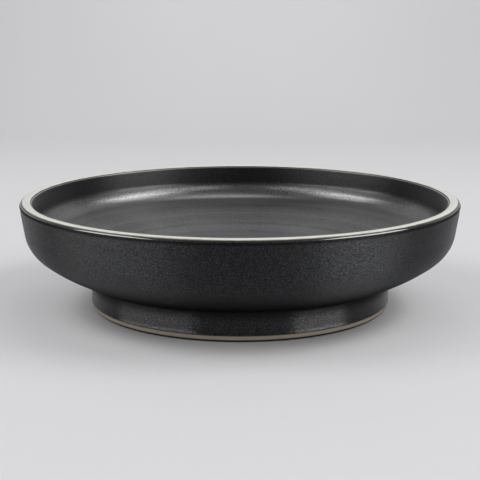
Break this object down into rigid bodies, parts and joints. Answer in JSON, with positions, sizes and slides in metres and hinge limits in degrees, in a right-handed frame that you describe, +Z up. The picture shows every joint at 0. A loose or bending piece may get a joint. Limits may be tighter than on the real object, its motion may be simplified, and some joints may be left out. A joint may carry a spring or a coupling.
{
  "type": "ikebana suiban",
  "caption": "Low round stoneware flower dish on a foot ring, satin black glaze with a pale lip band, holds water and a pin holder for a flower arrangement.",
  "frame": {"origin": "on the table under the middle of the dish, at the flat bottom of the foot ring", "axes": "+Z up along the dish's axis; the dish is round, so +X and +Y are any two level directions"},
  "size_m": [0.3, 0.3, 0.0755],
  "materials": {
    "stoneware": "bare, fine sandy matt",
    "slip": "bare matt",
    "black_glaze": "satin with fine pale specks",
    "pale_glaze": "satin"
  },
  "bodies": {
    "root": {"basin": "stoneware", "foot_ring": "stoneware", "luting_slip": "slip", "inner_glaze": "black_glaze", "outer_glaze": "black_glaze", "lip_glaze": "pale_glaze", "recess_glaze": "black_glaze"}
  },
  "joints": []
}
